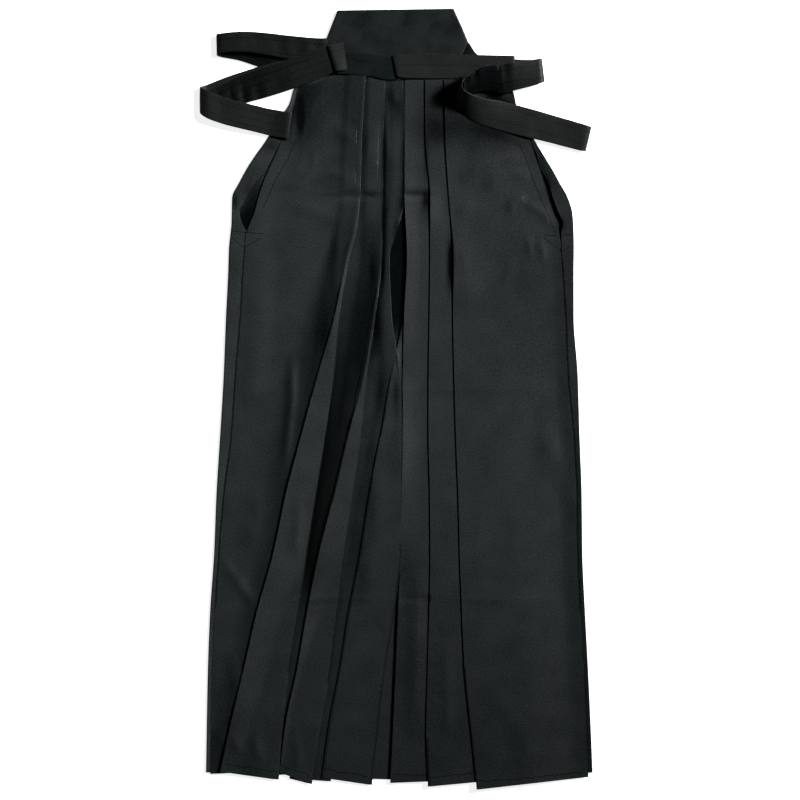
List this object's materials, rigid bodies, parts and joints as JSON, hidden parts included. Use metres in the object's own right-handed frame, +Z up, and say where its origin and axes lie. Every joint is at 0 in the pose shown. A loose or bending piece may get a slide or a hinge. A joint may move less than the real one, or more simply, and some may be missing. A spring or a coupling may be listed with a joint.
{
  "type": "hakama trousers",
  "caption": "Japanese pleated divided trousers laid out flat with the front up, a stiff back board at the waist and folded strap ties at both sides.",
  "frame": {"origin": "on the surface that the garment lies on, at the middle of its box", "axes": "+X to the right across the front, +Y up towards the back board, +Z up from the surface to the front"},
  "size_m": [0.5289, 1.052, 0.037],
  "materials": {
    "body_cloth": "fine twill with a soft sheen",
    "board_cloth": "twill drawn smooth over a stiff board",
    "strap_cloth": "folded twill, stitched along its edges"
  },
  "bodies": {
    "root": {"front_left": "body_cloth", "front_right": "body_cloth", "back_left": "body_cloth", "back_right": "body_cloth", "gusset_left": "body_cloth", "gusset_right": "body_cloth", "back_board": "board_cloth", "front_band": "strap_cloth", "strap_front_left": "strap_cloth", "strap_front_right": "strap_cloth", "strap_back_left": "strap_cloth", "strap_back_right": "strap_cloth"}
  },
  "joints": []
}
